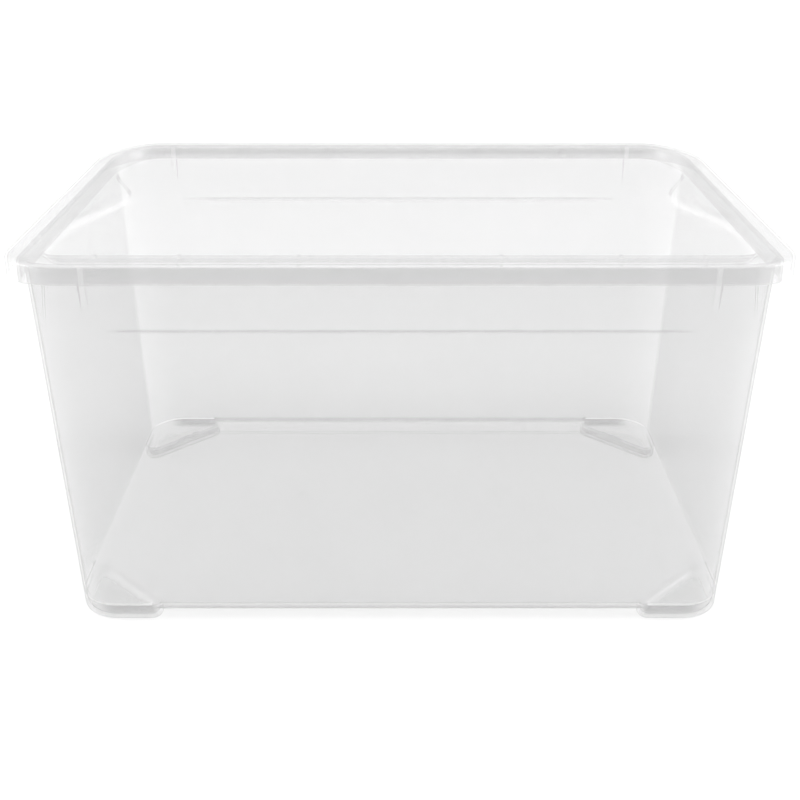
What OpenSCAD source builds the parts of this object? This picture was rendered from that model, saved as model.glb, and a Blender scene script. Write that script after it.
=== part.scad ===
// Stackable storage bin: a clear tub with four moulded corner feet, and a lift-off lid.
// Origin at the bottom centre: Z = 0 is the plane of the feet, X runs along the long side
// and the front is at -Y. All sizes are in millimetres.

/* [Overall] */
// Length of the lid, the longest side of the bin
length = 570; // [500:5:620]
// Width of the lid, front to back
width = 390; // [340:5:440]
// Height from the feet to the top of the lid
height = 303; // [240:1:360]
// How far the rim and the lid's edge drop at the short ends, below the long sides
end_drop = 4; // [0:0.5:5]

/* [Lid] */
// Radius of the lid's corners in plan
lid_r = 54; // [48:1:56]
// Thickness of the lid
lid_t = 1.8; // [1.4:0.1:2.4]
// Depth of the skirt that hangs outside the tub's rim
skirt_h = 15.5; // [12:0.5:18]
// Width of the raised rim band around the recessed panel
rim_band = 22; // [20:0.5:26]
// Depth of the recess that the feet of the next bin stand in
recess_depth = 6.5; // [5:0.5:8]
// How far the rim band swells inwards in the middle of each short side
grip_swell = 28; // [0:1:36]
// Length of the swelling
grip_length = 196; // [120:4:220]
// How much further the lid reaches at each short end than along the long sides
end_reach = 7.5; // [4:0.5:9]

/* [Tub] */
// Radius of the rim's corners, as it would be at the lid's edge
rim_r = 45; // [40:1:48]
// Thickness of the tub's walls
wall_t = 2; // [1.6:0.1:2.4]
// Thickness of the tub's floor
floor_t = 2.2; // [1.8:0.1:3]
// Distance from the lid's edge in to the tub's wall at the rim
rim_inset = 8; // [7:0.5:10]
// Distance from the lid's edge in to the tub's wall at the base
base_inset = 19.5; // [16:0.5:26]
// Radius of the tub's corners at the base
base_r = 32; // [28:1:36]
// Extra depth of the flange's lip along the short sides, where hands lift the bin
handle_lip = 8; // [0:0.5:10]
// Depth of the flute pressed into each corner under the rim
flute_depth = 4; // [0:0.5:5]
// Height of the flute
flute_h = 60; // [40:5:80]
// Distance of the step across the long walls below the lid's top
step_drop = 53; // [50:1:80]
// Depth of that step
step_depth = 1.6; // [0:0.1:2]
// Length of the step
step_length = 424; // [300:4:424]

/* [Floor and feet] */
// Height of the feet under the floor's edge
foot_h = 11; // [8:0.5:14]
// Length of each foot along the walls
foot_leg = 68; // [50:1:80]
// Distance from the lid's edge in to the raised middle of the floor
panel_inset = 54; // [48:1:70]
// Rise of the middle of the floor
panel_rise = 2; // [0.5:0.5:4]

/* [Hidden] */
clear_plastic = [0.92, 0.93, 0.93, 0.45];
corner_steps = 8;
side_steps = 8;
corner_edge = 1.2;
lid_top = height;
tub_length = length - 2 * end_reach;
panel_z = lid_top - recess_depth;
recess_slope = 3.5;
slope_back = 0.6 * lid_t;
lip_gap = 1;
lip_t = 1.8;
lip_inset = lid_t + lip_gap;
rest_gap = 0.4;
panel_lap = 3;
rim_z = lid_top - lid_t - rest_gap;
lip_z = lid_top - skirt_h + 0.5;
floor_z = foot_h + floor_t;
step_z = lid_top - step_drop;
step_fade = 20;
side_gap = 2;
flute_top = rim_z - wall_t;
flute_z = flute_top - flute_h;
flute_turn = 15;
gusset_x = 221;
gusset_w = 5;
gusset_z = [265, 284];
foot_end_r = 9;
foot_steps = 8;
bite = 0.4;

// Distance in from the lid's edge, and corner radius, of the tub's outer wall at height z
function up(z) = (z - foot_h) / (rim_z - foot_h);
function wall_inset(z) = base_inset + (rim_inset - base_inset) * up(z);
function wall_r(z) = base_r + (rim_r - rim_inset - base_r) * up(z);

// One corner of an outline, from the short side round to the long side
function corner(hx, hy, r, z, flute, side_drop) = [
    for (i = [0 : corner_steps])
        let (
            a = 90 * i / corner_steps,
            c = r - flute * max(0, 1 - abs(a - 45) / flute_turn)
        )
        [hx - r + c * cos(a), hy - r + c * sin(a), z - side_drop * pow(cos(a), 2)]
];

// The points inside a short side, with its swelling and its lower lip
function short_side(hx, z, grip, side_drop) = [
    for (i = [1 : side_steps - 1])
        let (
            y = grip_length * (i / side_steps - 0.5),
            swell = grip * pow(cos(180 * y / grip_length), 2)
        )
        [hx - swell, y, z - side_drop]
];

// The points inside a long side, which is pressed in between them
function long_side(hx, hy, r, z, pressed) = let (
    end = min(step_length / 2, hx - r - side_gap),
    flat = end - step_fade
) [
    [end, hy, z],
    [flat, hy - pressed, z],
    [-flat, hy - pressed, z],
    [-end, hy, z]
];

// A whole outline at height z, inset from the lid's edge, counter-clockwise from +X
function outline(
    inset, r, z, flute = 0, grip = 0, side_drop = 0, pressed = 0, reach = 0
) = let (
    hx = tub_length / 2 + reach - inset,
    hy = width / 2 - inset,
    first = corner(hx, hy, r, z, flute, side_drop),
    half = concat(
        short_side(hx, z, grip, side_drop),
        first,
        long_side(hx, hy, r, z, pressed),
        [for (i = [corner_steps : -1 : 0]) [-first[i][0], first[i][1], first[i][2]]]
    )
) concat(half, [for (p = half) [-p[0], -p[1], p[2]]]);

// An outline on the tub's rim or on the lid's recess, inset from the lid's long edge
function band(inset, z, grip = 0, side_drop = 0) =
    outline(inset, rim_r - inset, z, grip = grip, side_drop = side_drop);

// An outline near the lid's own edge, which reaches further at its short ends
function lid_edge(inset, z) =
    outline(inset, lid_r - inset, z, side_drop = end_drop, reach = end_reach);

// An outline on the tub's wall, moved in by depth: 0 is the outer face, wall_t the inner face
function on_wall(depth, z, pressed = 0, side_drop = 0) = outline(
    wall_inset(z) + depth, wall_r(z) - depth, z, flute_at(z), side_drop = side_drop, pressed = pressed
);

// Depth of the corner flute at height z
function flute_at(z) = flute_depth * max(0, z - flute_z) / flute_h;

// The outlines up the tub's wall: the long sides are pressed in below the step
function wall_rings(depth) = [
    on_wall(depth, foot_h + 34, 0.4 * step_depth),
    on_wall(depth, flute_z, 0.9 * step_depth),
    on_wall(depth, step_z - 2, step_depth),
    on_wall(depth, step_z),
    on_wall(depth, (step_z + flute_top) / 2),
    on_wall(depth, flute_top, side_drop = end_drop)
];

// The middle of an outline
function middle(ring) = [for (axis = [0 : 2]) sum_of(ring, axis) / len(ring)];

// The sum of one coordinate over an outline
function sum_of(ring, axis, i = 0) =
    i == len(ring) ? 0 : ring[i][axis] + sum_of(ring, axis, i + 1);

// A closed solid through outlines that all have the same number of points
module loft(rings) {
    n = len(rings[0]);
    last = len(rings) - 1;
    low = len(rings) * n;
    high = low + 1;
    points = concat(
        [for (ring = rings) each ring],
        [middle(rings[0]), middle(rings[last])]
    );
    sides = [
        for (k = [0 : last - 1], i = [0 : n - 1])
            let (a = k * n + i, b = k * n + (i + 1) % n)
            each [[a, b + n, b], [a, a + n, b + n]]
    ];
    caps = [
        for (i = [0 : n - 1])
            let (next = (i + 1) % n)
            each [[i, next, low], [last * n + next, last * n + i, high]]
    ];
    polyhedron(points, concat(sides, caps), convexity = 12);
}

// A closed hoop through outlines, the last of which joins the first
module hoop(rings) {
    n = len(rings[0]);
    count = len(rings);
    faces = [
        for (k = [0 : count - 1], i = [0 : n - 1])
            let (
                next = (i + 1) % n,
                a = k * n + i,
                b = k * n + next,
                c = (k + 1) % count * n + next,
                d = (k + 1) % count * n + i
            )
            each [[a, c, b], [a, d, c]]
    ];
    polyhedron([for (ring = rings) each ring], faces, convexity = 12);
}

// Both ends of something that is the same at +X and -X, or at +Y and -Y
module both(axis) {
    children();
    mirror(axis) children();
}

// The shell: underside, outer wall, flange with its lip, inner wall and floor
module tub_shell() {
    under = [
        outline(panel_inset, base_r / 2, foot_h + panel_rise),
        outline(panel_inset - 6, base_r / 2, foot_h),
        outline(base_inset + corner_edge, base_r - corner_edge, foot_h),
        outline(base_inset, base_r, foot_h + corner_edge)
    ];
    lip_in = lip_inset + lip_t;
    flange = [
        band(lip_in, rim_z - wall_t, side_drop = end_drop),
        band(lip_in, lip_z, side_drop = handle_lip),
        band(lip_inset, lip_z, side_drop = handle_lip),
        band(lip_inset, rim_z - 1, side_drop = end_drop),
        band(lip_inset + 1, rim_z, side_drop = end_drop),
        band(rim_inset + wall_t, rim_z, side_drop = end_drop)
    ];
    inner = wall_rings(wall_t);
    inside = base_inset + wall_t;
    floor_rings = [
        outline(inside, base_r - wall_t, floor_z + 12),
        outline(inside + 2, base_r - wall_t - 2, floor_z + 5),
        outline(inside + 7, base_r - wall_t - 7, floor_z + 1.2),
        outline(inside + 13, base_r / 2, floor_z),
        outline(panel_inset - 6, base_r / 2, floor_z),
        outline(panel_inset, base_r / 2, floor_z + panel_rise)
    ];
    down = [for (i = [len(inner) - 1 : -1 : 0]) inner[i]];
    loft(concat(under, wall_rings(0), flange, down, floor_rings));
}

// Outline of the foot in the corner at -X and -Y, drawn in by shrink
function foot_outline(shrink, z) = let (
    round_r = base_r,
    near = base_inset + round_r,
    side = base_inset + foot_end_r,
    far = base_inset + foot_leg - foot_end_r,
    arcs = [
        [near, near, round_r, 180, 270],
        [far, side, foot_end_r, 270, 405],
        [side, far, foot_end_r, 45, 180]
    ]
) [
    for (arc = arcs, i = [0 : foot_steps])
        let (a = arc[3] + (arc[4] - arc[3]) * i / foot_steps, r = arc[2] - shrink)
        [arc[0] + r * cos(a) - tub_length / 2, arc[1] + r * sin(a) - width / 2, z]
];

// One corner pad with rounded lower edges, joined to the floor
module foot() {
    loft([
        foot_outline(5, 0),
        foot_outline(2, 1.5),
        foot_outline(0.5, 5),
        foot_outline(bite / 2, foot_h + corner_edge)
    ]);
}

// Short upright under the flange, at the ends of the long walls
module gusset() {
    z0 = gusset_z[0];
    outer = width / 2 - lip_inset - lip_t - 1;
    inner = width / 2 - wall_inset(z0) - bite;
    translate([gusset_x - gusset_w / 2, inner, z0])
        cube([gusset_w, outer - inner, gusset_z[1] - z0]);
}

module tub() {
    color(clear_plastic)
    union() {
        tub_shell();
        both([1, 0, 0]) both([0, 1, 0]) foot();
        both([1, 0, 0]) both([0, 1, 0]) gusset();
    }
}

// Width of the band between the lid's edge and the foot of the recess's slope
function recess_inset() = rim_band + recess_slope;

// The lid's raised rim band and outer skirt, with the edge of the panel
module lid_rim() {
    panel_edge = recess_inset() + 2 * panel_lap;
    band_drop = 0.75 * end_drop;
    skirt_z = lid_top - skirt_h;
    hoop([
        band(panel_edge, panel_z - lid_t, grip_swell),
        band(recess_inset() - slope_back, panel_z - lid_t, grip_swell),
        band(rim_band - slope_back, lid_top - lid_t, grip_swell, band_drop),
        lid_edge(lid_t + 1, lid_top - lid_t),
        lid_edge(lid_t, lid_top - lid_t - 1),
        lid_edge(lid_t, skirt_z),
        lid_edge(0, skirt_z),
        lid_edge(0, lid_top - corner_edge),
        lid_edge(corner_edge, lid_top),
        band(rim_band, lid_top, grip_swell, band_drop),
        band(recess_inset(), panel_z, grip_swell),
        band(panel_edge, panel_z, grip_swell)
    ]);
}

// The flat panel that the next bin's feet stand on
module lid_panel() {
    edge = band(recess_inset() + panel_lap, 0, grip_swell);
    translate([0, 0, panel_z - lid_t])
    linear_extrude(lid_t)
    polygon([for (p = edge) [p[0], p[1]]]);
}

module lid() {
    color(clear_plastic)
    union() {
        lid_rim();
        lid_panel();
    }
}

tub();
lid();
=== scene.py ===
"""Stackable storage bin: a clear, slightly milky tub and lid, standing on a plain pale studio floor."""

from math import cos, hypot, pi, radians, sin

import bmesh
import bpy
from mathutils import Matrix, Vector


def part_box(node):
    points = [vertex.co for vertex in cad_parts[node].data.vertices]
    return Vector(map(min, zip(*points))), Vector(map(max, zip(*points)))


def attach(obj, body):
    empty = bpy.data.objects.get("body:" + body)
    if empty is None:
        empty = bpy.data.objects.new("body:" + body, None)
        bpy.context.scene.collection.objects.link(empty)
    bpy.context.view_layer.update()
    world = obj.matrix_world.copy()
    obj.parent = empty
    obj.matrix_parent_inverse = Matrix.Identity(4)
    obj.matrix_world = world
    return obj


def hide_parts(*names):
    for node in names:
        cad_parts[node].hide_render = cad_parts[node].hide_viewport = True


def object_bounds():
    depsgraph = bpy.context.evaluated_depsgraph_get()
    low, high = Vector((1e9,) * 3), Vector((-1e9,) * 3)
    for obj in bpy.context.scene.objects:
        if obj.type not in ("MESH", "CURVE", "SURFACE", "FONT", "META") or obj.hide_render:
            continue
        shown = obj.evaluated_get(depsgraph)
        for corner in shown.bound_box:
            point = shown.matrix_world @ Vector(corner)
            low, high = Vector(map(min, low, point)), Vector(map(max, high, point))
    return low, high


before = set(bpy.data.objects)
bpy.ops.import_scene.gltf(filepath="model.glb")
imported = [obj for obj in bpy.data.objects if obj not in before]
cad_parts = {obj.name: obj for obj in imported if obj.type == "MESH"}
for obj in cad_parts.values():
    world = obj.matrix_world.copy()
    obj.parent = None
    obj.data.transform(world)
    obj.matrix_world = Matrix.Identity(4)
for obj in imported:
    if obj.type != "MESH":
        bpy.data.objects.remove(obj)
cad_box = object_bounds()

MM = 0.001

# ---------------------------------------------------------------- sizes, all in metres, from the frame
low, high = cad_box
LENGTH = high.x - low.x
WIDTH = high.y - low.y
TOP = high.z
RIM_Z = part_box("tub")[1].z
LIP_INSET = 2.8 * MM
END_REACH = high.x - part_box("tub")[1].x - LIP_INSET

RIM_R = 45 * MM
LID_R = 54 * MM
END_DROP = 4 * MM
LID_T = 1.8 * MM
SKIRT_H = 15.5 * MM
RIM_BAND = 22 * MM
RECESS = 6.5 * MM
RECESS_SLOPE = 3.5 * MM
SWELL = 28 * MM
SWELL_LENGTH = 196 * MM

WALL_T = 2 * MM
FLOOR_T = 2.2 * MM
RIM_INSET = 8 * MM
BASE_INSET = 19.5 * MM
BASE_R = 32 * MM
HANDLE_LIP = 8 * MM
FOOT_H = 11 * MM
FLUTE_DEPTH = 4 * MM
FLUTE_H = 60 * MM
FLUTE_TURN = 48
FLUTE_HALF = 15
FLUTE_SIDE = 2.5
STEP_DROP = 53 * MM
STEP_DEPTH = 1.8 * MM
STEP_TURN = 0.9 * MM
STEP_HALF = 212 * MM
PANEL_INSET = 54 * MM
PANEL_RISE = 2 * MM
CROSS_DEPTH = 1.6 * MM
RIDGE = 0.6 * MM
RIDGE_HALF = 8
LIP_T = 1.8 * MM

CORNER_STEPS = 56
SHORT_STEPS = 56
LONG_STEPS = 72
# Places along X of the small ribs inside the lid's skirt, and of those across the slope of its recess
SKIRT_RIBS = [x * MM for x in (-165, -82, 0, 82, 165)]
LID_RIBS = [side * x * MM for x in (71, 155, 214) for side in (-1, 1)]
# The milky plastic scatters most light on instead of stopping it, so it casts only this share of its shadow
SHADOW_SHARE = 0.35


# ---------------------------------------------------------------- outlines and lofts
def ease(t):
    """0 to 1 with level ends, for t from 0 to 1."""
    t = min(1.0, max(0.0, t))
    return t * t * (3 - 2 * t)


def outline(inset, r, z, flute=0.0, swell=0.0, side_drop=0.0, step=0.0, height=None, reach=0.0):
    """A rounded rectangle, counter-clockwise, whose long sides are inset from the lid's edge.
    Its corners draw in by flute, its short sides swell in and drop, and its long sides press in by step."""
    hx, hy = LENGTH / 2 - END_REACH + reach - inset, WIDTH / 2 - inset
    points = []

    def add(x, y, dip):
        zz = z - dip
        if height:
            zz += height(x, y)
        points.append(Vector((x, y, zz)))

    def corner(sx, sy, forward):
        steps = range(CORNER_STEPS + 1)
        for i in steps if forward else reversed(steps):
            a = pi / 2 * i / CORNER_STEPS
            off = abs(i / CORNER_STEPS * 90 - FLUTE_TURN)
            half = FLUTE_HALF * flute / FLUTE_DEPTH + 0.01
            c = r - flute * (0.6 * ease((half - off) / FLUTE_SIDE) + 0.4 * max(0.0, 1 - off / half))
            add(sx * (hx - r + c * cos(a)), sy * (hy - r + c * sin(a)), side_drop * cos(a) ** 2)

    def short(sx, sy):
        end = hy - r
        for i in range(1, SHORT_STEPS):
            y = end * (2 * i / SHORT_STEPS - 1)
            near = abs(y) < SWELL_LENGTH / 2
            s = swell * cos(pi * y / SWELL_LENGTH) ** 2 if near else 0.0
            add(sx * (hx - s), sy * y, side_drop)

    def long(sx, sy):
        end = hx - r
        for i in range(1, LONG_STEPS):
            x = end * (1 - 2 * i / LONG_STEPS)
            press = step * ease((STEP_HALF - abs(x)) / (24 * MM))
            add(sx * x, sy * (hy - press), 0.0)

    short(1, 1)
    corner(1, 1, True)
    long(1, 1)
    corner(-1, 1, False)
    short(-1, -1)
    corner(-1, -1, True)
    long(-1, -1)
    corner(1, -1, False)
    return points


def loft(name, rings):
    """A closed mesh through outlines with equal numbers of points, capped at both ends."""
    bm = bmesh.new()
    loops = [[bm.verts.new(p) for p in ring] for ring in rings]
    n = len(loops[0])
    for a, b in zip(loops, loops[1:]):
        for i in range(n):
            j = (i + 1) % n
            bm.faces.new((a[i], a[j], b[j], b[i]))
    for loop, flip in ((loops[0], True), (loops[-1], False)):
        middle = sum((v.co for v in loop), Vector()) / n
        hub = bm.verts.new(middle)
        for i in range(n):
            j = (i + 1) % n
            pair = (loop[j], loop[i]) if flip else (loop[i], loop[j])
            bm.faces.new((*pair, hub))
    bmesh.ops.recalc_face_normals(bm, faces=bm.faces)
    mesh = bpy.data.meshes.new(name)
    bm.to_mesh(mesh)
    bm.free()
    piece = bpy.data.objects.new(name, mesh)
    bpy.context.scene.collection.objects.link(piece)
    return piece


def smooth(piece, angle=32):
    """Smooth shading, with the creases over that angle kept sharp."""
    bm = bmesh.new()
    bm.from_mesh(piece.data)
    for f in bm.faces:
        f.smooth = True
    for e in bm.edges:
        e.smooth = len(e.link_faces) != 2 or e.calc_face_angle(0) < radians(angle)
    bm.to_mesh(piece.data)
    bm.free()


def cut(piece, tool, how):
    """Joins tool to piece, or takes it away, and removes the tool."""
    m = piece.modifiers.new("cut", "BOOLEAN")
    m.operation, m.object, m.solver = how, tool, "EXACT"
    depsgraph = bpy.context.evaluated_depsgraph_get()
    made = bpy.data.meshes.new_from_object(piece.evaluated_get(depsgraph))
    piece.modifiers.clear()
    piece.data = made
    bpy.data.objects.remove(tool)


def arc(start, end, steps, cx, cz, rx, rz):
    """Points (inset, z) round part of an ellipse; angles in degrees."""
    return [
        (cx + rx * cos(radians(start + (end - start) * i / steps)),
         cz + rz * sin(radians(start + (end - start) * i / steps)))
        for i in range(steps + 1)
    ]


# ---------------------------------------------------------------- tub
def up(z):
    return (z - FOOT_H) / (RIM_Z - FOOT_H)


def wall_inset(z):
    return BASE_INSET + (RIM_INSET - BASE_INSET) * up(z)


def wall_r(z):
    return BASE_R + (RIM_R - RIM_INSET - BASE_R) * up(z)


def band(inset, z, side_drop=0.0):
    """An outline on the tub's rim, inset from the lid's long edge."""
    return outline(inset, RIM_R - inset, z, side_drop=side_drop)


def wall(depth, z):
    """An outline on the tub's wall, depth inside its outer face, with the flutes and the step."""
    top = RIM_Z - WALL_T
    flute = FLUTE_DEPTH * max(0.0, z - (top - FLUTE_H)) / FLUTE_H
    step_z = TOP - STEP_DROP
    below = ease((step_z - z) / STEP_TURN)
    step = STEP_DEPTH * below * ease((z - FOOT_H) / (0.75 * (step_z - FOOT_H)))
    drop = END_DROP * ease((z - step_z) / (top - step_z))
    return outline(wall_inset(z) + depth, wall_r(z) - depth, z, flute, side_drop=drop, step=step)


def wall_levels():
    """Heights up the wall, close together at the step and under the rim."""
    step_z = TOP - STEP_DROP
    top = RIM_Z - WALL_T
    base = FOOT_H + 12 * MM
    levels = [base + (step_z - 6 * MM - base) * i / 24 for i in range(25)]
    levels += [step_z - STEP_TURN * d for d in (4, 2, 1, 0.8, 0.6, 0.4, 0.2, 0, -1)]
    levels += [step_z + 2 * MM + (top - step_z - 2 * MM) * i / 14 for i in range(1, 14)]
    return levels


def cross(x, y):
    """The floor panel sinks a little to its middle, with a low ridge along each diagonal."""
    u = (LENGTH / 2 - END_REACH - PANEL_INSET - abs(x)) / MM
    v = (WIDTH / 2 - PANEL_INSET - abs(y)) / MM
    ridge = RIDGE * max(0.0, 1 - abs(u - v) / RIDGE_HALF) * ease(min(u, v) / 30)
    return ridge - CROSS_DEPTH * ease(min(u, v) / 120)


def floor_rings(z, rise):
    """Outlines from the foot of the raised panel in to its middle."""
    rings = []
    for d in range(6, -1, -1):
        inset = PANEL_INSET - d * MM
        rings.append(outline(inset, BASE_R / 2, z + rise * ease(1 - d / 6)))
    for t in (0.04, 0.12, 0.22, 0.34, 0.46, 0.58, 0.7, 0.8, 0.88, 0.94):
        inset = PANEL_INSET + (WIDTH / 2 - PANEL_INSET - 4 * MM) * t
        r = max(1.5 * MM, BASE_R / 2 * (1 - t))
        rings.append(outline(inset, r, z + rise, height=cross))
    return rings


def foot_outline(sx, sy, shrink, z):
    """The rounded-triangle outline of one corner foot, drawn in by shrink."""
    end_r, leg = 9 * MM, 68 * MM
    near = BASE_INSET + BASE_R
    side, far = BASE_INSET + end_r, BASE_INSET + leg - end_r
    arcs = ((near, near, BASE_R, 180, 270), (far, side, end_r, 270, 405), (side, far, end_r, 45, 180))
    points = []
    for cx, cy, r, a0, a1 in arcs:
        for i in range(15):
            a = radians(a0 + (a1 - a0) * i / 14)
            points.append((cx + (r - shrink) * cos(a), cy + (r - shrink) * sin(a)))
    points = [Vector((sx * (LENGTH / 2 - END_REACH - x), sy * (WIDTH / 2 - y), z)) for x, y in points]
    return points if sx * sy > 0 else points[::-1]


def foot(sx, sy):
    """The pad itself, rounded under, up to inside the floor."""
    r = 5 * MM
    profile = [(r - r * cos(radians(a)), r - r * sin(radians(a))) for a in range(90, -1, -10)]
    rings = [foot_outline(sx, sy, r + 3 * MM, 0.0)]
    rings += [foot_outline(sx, sy, s + 0.2 * MM, z) for s, z in profile]
    rings += [foot_outline(sx, sy, 0.15 * MM, FOOT_H + PANEL_RISE + 0.1 * MM)]
    return loft("foot", rings)


def foot_pocket(sx, sy):
    """The hollow inside a foot, open to the tub, with a rounded mouth."""
    r = 7 * MM
    t = WALL_T
    rings = [foot_outline(sx, sy, t + r, t)]
    rings += [
        foot_outline(sx, sy, t + r - r * cos(radians(a)), t + r - r * sin(radians(a)))
        for a in range(90, -1, -15)
    ]
    floor = FOOT_H + FLOOR_T
    for a in range(0, 91, 15):
        s = 3 * MM * (1 - cos(radians(a)))
        rings.append(foot_outline(sx, sy, t - s * 0.8, floor - 2 * MM + 3 * MM * sin(radians(a))))
    rings.append(foot_outline(sx, sy, t - 2.4 * MM, floor + PANEL_RISE + 1 * MM))
    return loft("pocket", rings)


def gusset(sx, sy):
    """Short upright between the flange and the long wall."""
    x, w, z0, z1 = 221 * MM, 5 * MM, 265 * MM, RIM_Z - 1.2 * MM
    bm = bmesh.new()
    outer_top = WIDTH / 2 - LIP_INSET - LIP_T / 2
    outer_low = WIDTH / 2 - wall_inset(z0) - 0.3 * MM
    inner = WIDTH / 2 - wall_inset(z0) - 0.5 * MM
    side = [(inner, z0), (outer_low + 0.6 * MM, z0), (outer_top, z0 + 18 * MM), (outer_top, z1), (inner, z1)]
    faces = []
    for dx in (-w / 2, w / 2):
        faces.append([bm.verts.new((sx * (x + dx), sy * y, z)) for y, z in side])
    bm.faces.new(faces[0])
    bm.faces.new(faces[1])
    for i in range(len(side)):
        j = (i + 1) % len(side)
        bm.faces.new((faces[0][i], faces[0][j], faces[1][j], faces[1][i]))
    bmesh.ops.recalc_face_normals(bm, faces=bm.faces)
    mesh = bpy.data.meshes.new("gusset")
    bm.to_mesh(mesh)
    bm.free()
    piece = bpy.data.objects.new("gusset", mesh)
    bpy.context.scene.collection.objects.link(piece)
    return piece


def tub():
    edge = 1.2 * MM
    under = floor_rings(FOOT_H, PANEL_RISE)[::-1]
    under += [outline(BASE_INSET + 22 * MM, BASE_R / 2, FOOT_H)]
    for s, z in arc(270, 180, 5, BASE_INSET + edge, FOOT_H + edge, edge, edge):
        under.append(outline(s, BASE_R - (s - BASE_INSET), z))
    levels = wall_levels()
    outer = [wall(0, z) for z in levels]
    lip_in = LIP_INSET + LIP_T
    top = RIM_Z - WALL_T
    round_r = 2.2 * MM
    bead = 0.9 * MM
    lip_z = TOP - SKIRT_H + 0.5 * MM
    flange = [band(wall_inset(top) - 0.6 * MM, top - 0.2 * MM, END_DROP)]
    flange += [band(s, z, END_DROP)
               for s, z in arc(90, 180, 4, lip_in + edge, top - edge, edge, edge)]
    flange += [band(s, z, HANDLE_LIP)
               for s, z in arc(0, -180, 6, LIP_INSET + bead, lip_z + bead, bead, bead)]
    flange += [band(s, z, END_DROP)
               for s, z in arc(180, 90, 6, LIP_INSET + round_r, RIM_Z - round_r, round_r, round_r)]
    in_r = 1.8 * MM
    at = RIM_INSET + WALL_T
    flange += [band(s, z, END_DROP) for s, z in arc(90, 0, 5, at - in_r, RIM_Z - in_r, in_r, in_r)]
    inner = [wall(WALL_T, z) for z in reversed(levels)]
    cove = 4 * MM
    inside = BASE_INSET + WALL_T
    floor = FOOT_H + FLOOR_T
    coves = [outline(s, max(BASE_R / 2, BASE_R - WALL_T - (s - inside)), z)
             for s, z in arc(180, 270, 8, inside + cove, floor + cove, cove, cove)]
    inner += coves[1:]
    inner += floor_rings(floor, PANEL_RISE)
    piece = loft("storage_tub", under + outer + flange + inner)
    for sx in (1, -1):
        for sy in (1, -1):
            cut(piece, foot(sx, sy), "UNION")
    for sx in (1, -1):
        for sy in (1, -1):
            cut(piece, foot_pocket(sx, sy), "DIFFERENCE")
            cut(piece, gusset(sx, sy), "UNION")
    smooth(piece)
    return piece


# ---------------------------------------------------------------- lid
def lid_edge(inset, z):
    """An outline near the lid's own edge, which reaches further and drops at its short ends."""
    return outline(inset, LID_R - inset, z, side_drop=END_DROP, reach=END_REACH)


def recess(inset, z, drop=0.0):
    """An outline round the lid's recess, whose short ends swell in beside the grips."""
    return outline(inset, max(2 * MM, RIM_R - inset), z, swell=SWELL, side_drop=drop)


def thumb_pad(x, y):
    """A shallow oval dip at the middle of each short side, where the thumbs press."""
    u = (LENGTH / 2 - abs(x) - 27 * MM) / (16 * MM)
    v = y / (64 * MM)
    return -0.9 * MM * ease(2.2 * (1 - hypot(u, v) ** 2))


def lid_top(thin):
    """The rings of the lid's upper side, or of its underside when thin is its thickness."""
    back = 0.6 * thin
    inner = RIM_BAND - back
    outer = 5 * MM
    panel = TOP - RECESS - thin
    band_drop = 0.75 * END_DROP
    rings = []
    for i in range(12):
        t = i / 12
        edge = lid_edge(outer, TOP - thin)
        mouth = recess(inner, TOP - thin, band_drop)
        ring = [e.lerp(m, t) for e, m in zip(edge, mouth)]
        rings.append([p + Vector((0, 0, thumb_pad(p.x, p.y))) for p in ring])
    for i in range(9):
        t = i / 8
        e = ease(t)
        z = TOP - thin + (panel - TOP + thin) * e
        rings.append(recess(inner + RECESS_SLOPE * t, z, band_drop * (1 - e)))
    foot = inner + RECESS_SLOPE
    rings += [recess(foot + s * MM, panel) for s in (4, 12, 30)]
    return rings


def rib(x, y_in, y_out, z_low, z_high):
    """A small upright rib across the slope of the recess, narrower along its top."""
    w = 2.2 * MM
    rings = []
    for dx, z in ((w / 2, z_low), (w / 2, z_high - 0.6 * MM), (w / 3, z_high)):
        ring = [(x - dx, y_in), (x + dx, y_in), (x + dx, y_out), (x - dx, y_out)]
        rings.append([Vector((px, py, z)) for px, py in ring])
    return loft("rib", rings)


def lid():
    skirt = TOP - SKIRT_H
    rings = lid_top(LID_T)[::-1]
    r_in = 1.6 * MM
    rings += [lid_edge(s, z) for s, z in arc(90, 180, 4, LID_T + r_in, TOP - LID_T - r_in, r_in, r_in)]
    bead = LID_T / 2
    rings += [lid_edge(s, z) for s, z in arc(0, -180, 6, bead, skirt + bead, bead, bead)]
    r_out = 3.2 * MM
    rings += [lid_edge(s, z) for s, z in arc(180, 90, 8, r_out, TOP - r_out, r_out, r_out)]
    rings += lid_top(0.0)
    piece = loft("storage_lid", rings)
    for x in SKIRT_RIBS:
        for side in (1, -1):
            y = WIDTH / 2 - LID_T
            y_in, y_out = side * (y - 0.7 * MM), side * (y + 0.6 * MM)
            cut(piece, rib(x, y_in, y_out, skirt + 1.5 * MM, TOP - 2.5 * MM), "UNION")
    for x in LID_RIBS:
        for side in (1, -1):
            y = WIDTH / 2 - RIM_BAND
            y_in, y_out = side * (y - RECESS_SLOPE), side * (y + 3 * MM)
            cut(piece, rib(x, y_in, y_out, TOP - RECESS - 1 * MM, TOP - 0.3 * MM), "UNION")
    smooth(piece)
    return piece


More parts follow.
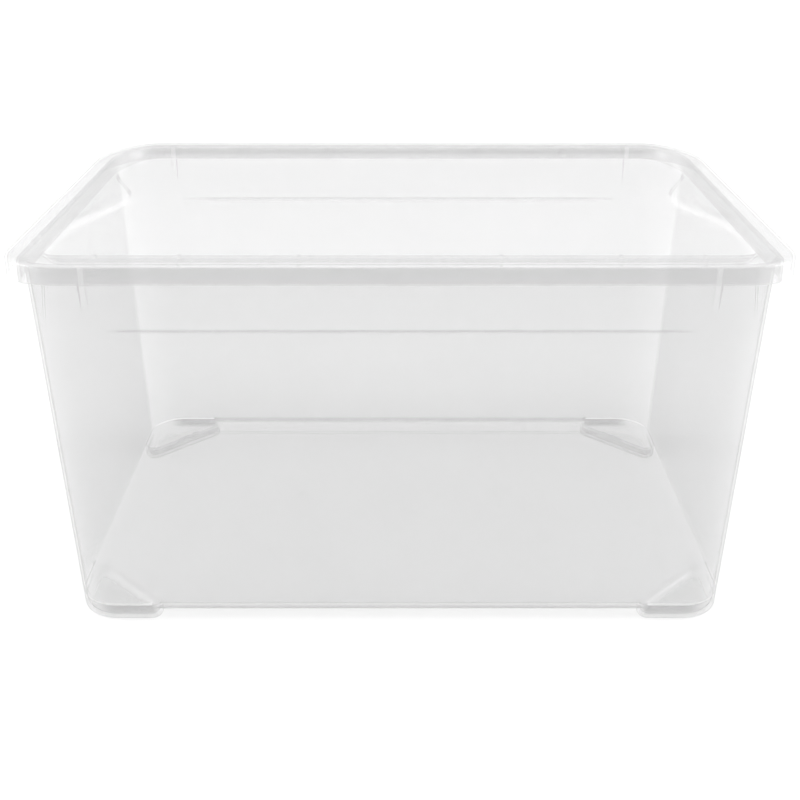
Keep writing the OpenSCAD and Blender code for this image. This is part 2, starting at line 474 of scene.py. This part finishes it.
# ---------------------------------------------------------------- materials
def thickness_and_painted_shade(nt, place, height, half, amount, limits):
    """Extra milkiness, for the longer way light takes through the plastic there, and painted shade where a
    band darkens a crease: within half of a height, and inside the limits, each of which fades in along one
    axis from start to end."""
    def node(kind, **values):
        made = nt.nodes.new(kind)
        for key, value in values.items():
            made.inputs[key.replace("_", " ")].default_value = value
        return made

    def distance(source, origin):
        off = nt.nodes.new("ShaderNodeMath")
        off.operation = "SUBTRACT"
        off.inputs[1].default_value = origin
        size = nt.nodes.new("ShaderNodeMath")
        size.operation = "ABSOLUTE"
        nt.links.new(source, off.inputs[0])
        nt.links.new(off.outputs["Value"], size.inputs[0])
        return size.outputs["Value"]

    apart = nt.nodes.new("ShaderNodeSeparateXYZ")
    nt.links.new(place.outputs["Object"], apart.inputs["Vector"])
    level = node("ShaderNodeMapRange", From_Min=half * 0.4, From_Max=half, To_Min=amount, To_Max=0.0)
    nt.links.new(distance(apart.outputs["Z"], height), level.inputs["Value"])
    result = level.outputs["Result"]
    for axis, start, end in limits:
        along = node("ShaderNodeMapRange", From_Min=start, From_Max=end)
        nt.links.new(distance(apart.outputs[axis], 0.0), along.inputs["Value"])
        both = nt.nodes.new("ShaderNodeMath")
        both.operation = "MULTIPLY"
        nt.links.new(result, both.inputs[0])
        nt.links.new(along.outputs["Result"], both.inputs[1])
        result = both.outputs["Value"]
    return result


def clear_plastic(name, tone, opacity, edge_opacity, edge_start, rough, bands=()):
    """Clear, slightly milky polypropylene: mostly see-through, but more solid and darker where it is
    seen along its surface, past edge_start, and more solid in the bands."""
    m = bpy.data.materials.new(name)
    m.use_nodes = True
    nt = m.node_tree
    new, link = nt.nodes.new, nt.links.new
    body = nt.nodes["Principled BSDF"]
    body.inputs["Roughness"].default_value = rough
    body.inputs["IOR"].default_value = 1.49
    place = new("ShaderNodeTexCoord")

    haze = new("ShaderNodeTexNoise")
    haze.inputs["Scale"].default_value = 9
    haze.inputs["Detail"].default_value = 3
    shade = new("ShaderNodeMapRange")
    shade.inputs["To Min"].default_value = tone * 0.97
    shade.inputs["To Max"].default_value = tone * 1.03
    link(place.outputs["Object"], haze.inputs["Vector"])
    link(haze.outputs["Fac"], shade.inputs["Value"])

    facing = new("ShaderNodeLayerWeight")
    facing.inputs["Blend"].default_value = 0.5
    amount = new("ShaderNodeMapRange")
    amount.interpolation_type = "SMOOTHSTEP"
    amount.inputs["From Min"].default_value = edge_start
    amount.inputs["To Min"].default_value = opacity
    amount.inputs["To Max"].default_value = edge_opacity
    link(facing.outputs["Facing"], amount.inputs["Value"])
    path = new("ShaderNodeLightPath")
    shadow = new("ShaderNodeMapRange")
    shadow.inputs["To Min"].default_value = 1.0
    shadow.inputs["To Max"].default_value = SHADOW_SHARE
    dim = new("ShaderNodeMapRange")
    dim.inputs["From Min"].default_value = edge_start + 0.04
    dim.inputs["To Min"].default_value = 1.0
    dim.inputs["To Max"].default_value = 0.35
    colour = new("ShaderNodeMath")
    colour.operation = "MULTIPLY"
    link(facing.outputs["Facing"], dim.inputs["Value"])
    link(shade.outputs["Result"], colour.inputs[0])
    link(dim.outputs["Result"], colour.inputs[1])
    link(colour.outputs["Value"], body.inputs["Base Color"])
    share = new("ShaderNodeMath")
    share.operation = "MULTIPLY"
    link(path.outputs["Is Shadow Ray"], shadow.inputs["Value"])
    solid = amount.outputs["Result"]
    # Each band adds milkiness; along the step's ledge that is partly painted shade
    for band in bands:
        more = new("ShaderNodeMath")
        more.use_clamp = True
        link(solid, more.inputs[0])
        link(thickness_and_painted_shade(nt, place, *band), more.inputs[1])
        solid = more.outputs["Value"]
    link(solid, share.inputs[0])
    link(shadow.outputs["Result"], share.inputs[1])
    link(share.outputs["Value"], body.inputs["Alpha"])

    grain = new("ShaderNodeTexNoise")
    grain.inputs["Scale"].default_value = 60
    bump = new("ShaderNodeBump")
    bump.inputs["Strength"].default_value = 0.02
    bump.inputs["Distance"].default_value = 0.001
    link(place.outputs["Object"], grain.inputs["Vector"])
    link(grain.outputs["Fac"], bump.inputs["Height"])
    link(bump.outputs["Normal"], body.inputs["Normal"])
    return m


def floor_paint():
    m = bpy.data.materials.new("studio_white")
    m.use_nodes = True
    shader = m.node_tree.nodes["Principled BSDF"]
    shader.inputs["Base Color"].default_value = (0.585, 0.585, 0.585, 1)
    shader.inputs["Roughness"].default_value = 0.9
    shader.inputs["Specular IOR Level"].default_value = 0.0
    return m


# ---------------------------------------------------------------- studio
def studio():
    """A pale floor that the light brings up to white, under soft light from above, from both sides
    and from a smaller lamp high on each side. The backdrop is white to the camera, the room dimmer."""
    mesh = bpy.data.meshes.new("studio_floor")
    s = 40
    mesh.from_pydata([(-s, -s, 0), (s, -s, 0), (s, s, 0), (-s, s, 0)], [], [(0, 1, 2, 3)])
    floor = bpy.data.objects.new("studio_floor", mesh)
    bpy.context.scene.collection.objects.link(floor)
    floor.data.materials.append(floor_paint())

    world = bpy.data.worlds.new("studio")
    bpy.context.scene.world = world
    world.use_nodes = True
    nt = world.node_tree
    room = nt.nodes["Background"]
    room.inputs["Strength"].default_value = 0.18
    backdrop = nt.nodes.new("ShaderNodeBackground")
    backdrop.inputs["Color"].default_value = (1, 1, 1, 1)
    seen = nt.nodes.new("ShaderNodeLightPath")
    mix = nt.nodes.new("ShaderNodeMixShader")
    room.inputs["Color"].default_value = (1, 1, 1, 1)
    nt.links.new(seen.outputs["Is Camera Ray"], mix.inputs["Fac"])
    nt.links.new(room.outputs["Background"], mix.inputs[1])
    nt.links.new(backdrop.outputs["Background"], mix.inputs[2])
    nt.links.new(mix.outputs["Shader"], nt.nodes["World Output"].inputs["Surface"])

    def soft_sun(name, way, strength, spread):
        """Even light from one direction, as from a large softbox far off."""
        data = bpy.data.lights.new(name, "SUN")
        data.energy, data.angle = strength * pi, radians(spread)
        lamp = bpy.data.objects.new(name, data)
        lamp.rotation_euler = Vector(way).to_track_quat("Z", "Y").to_euler()
        bpy.context.scene.collection.objects.link(lamp)

    soft_sun("overhead", (0, -0.3, 1), 0.85, 40)
    soft_sun("left_key", (-0.72, 0.1, 0.62), 0.33, 14)
    soft_sun("right_key", (0.72, 0.1, 0.62), 0.33, 14)
    soft_sun("left_side", (-1, 0, 0.12), 1.55, 50)
    soft_sun("right_side", (1, 0, 0.12), 1.55, 50)
    bpy.context.scene.view_settings.view_transform = "Standard"
    bpy.context.scene.cycles.transparent_max_bounces = 64


def camera():
    """The photograph's view: straight on and from a little above, without shift."""
    tilt = 24.13
    data = bpy.data.cameras.new("camera")
    data.sensor_width = 36
    data.lens = 36 * 1208.8 / 800
    cam = bpy.data.objects.new("camera", data)
    cam.location = (0, low.y - 790.7 * MM, TOP + 253.2 * MM)
    cam.rotation_euler = (radians(90 - tilt), 0, 0)
    data.clip_start = 0.05
    bpy.context.scene.collection.objects.link(cam)
    bpy.context.scene.camera = cam


# ---------------------------------------------------------------- the bin
camera()
studio()

# The ledge of the step on the long walls, partly the thicker plastic there and partly a painted shade line
# along its crease, and the solid corner where the long walls meet the floor, for the thicker plastic there
TUB_BANDS = (
    (TOP - STEP_DROP, 1.7 * MM, 0.17, (("X", STEP_HALF + 2 * MM, STEP_HALF - 30 * MM),)),
    (FOOT_H, 6 * MM, 0.3, (("Y", WIDTH / 2 - BASE_INSET - 4 * MM, WIDTH / 2 - BASE_INSET),)),
)
tub_piece = tub()
tub_piece.data.materials.append(clear_plastic("tub_clear", 0.38, 0.145, 0.5, 0.6, 0.18, TUB_BANDS))
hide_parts("tub")
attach(tub_piece, "tub")

lid_piece = lid()
lid_piece.data.materials.append(clear_plastic("lid_clear", 0.56, 0.23, 0.75, 0.75, 0.2))
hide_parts("lid")
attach(lid_piece, "lid")
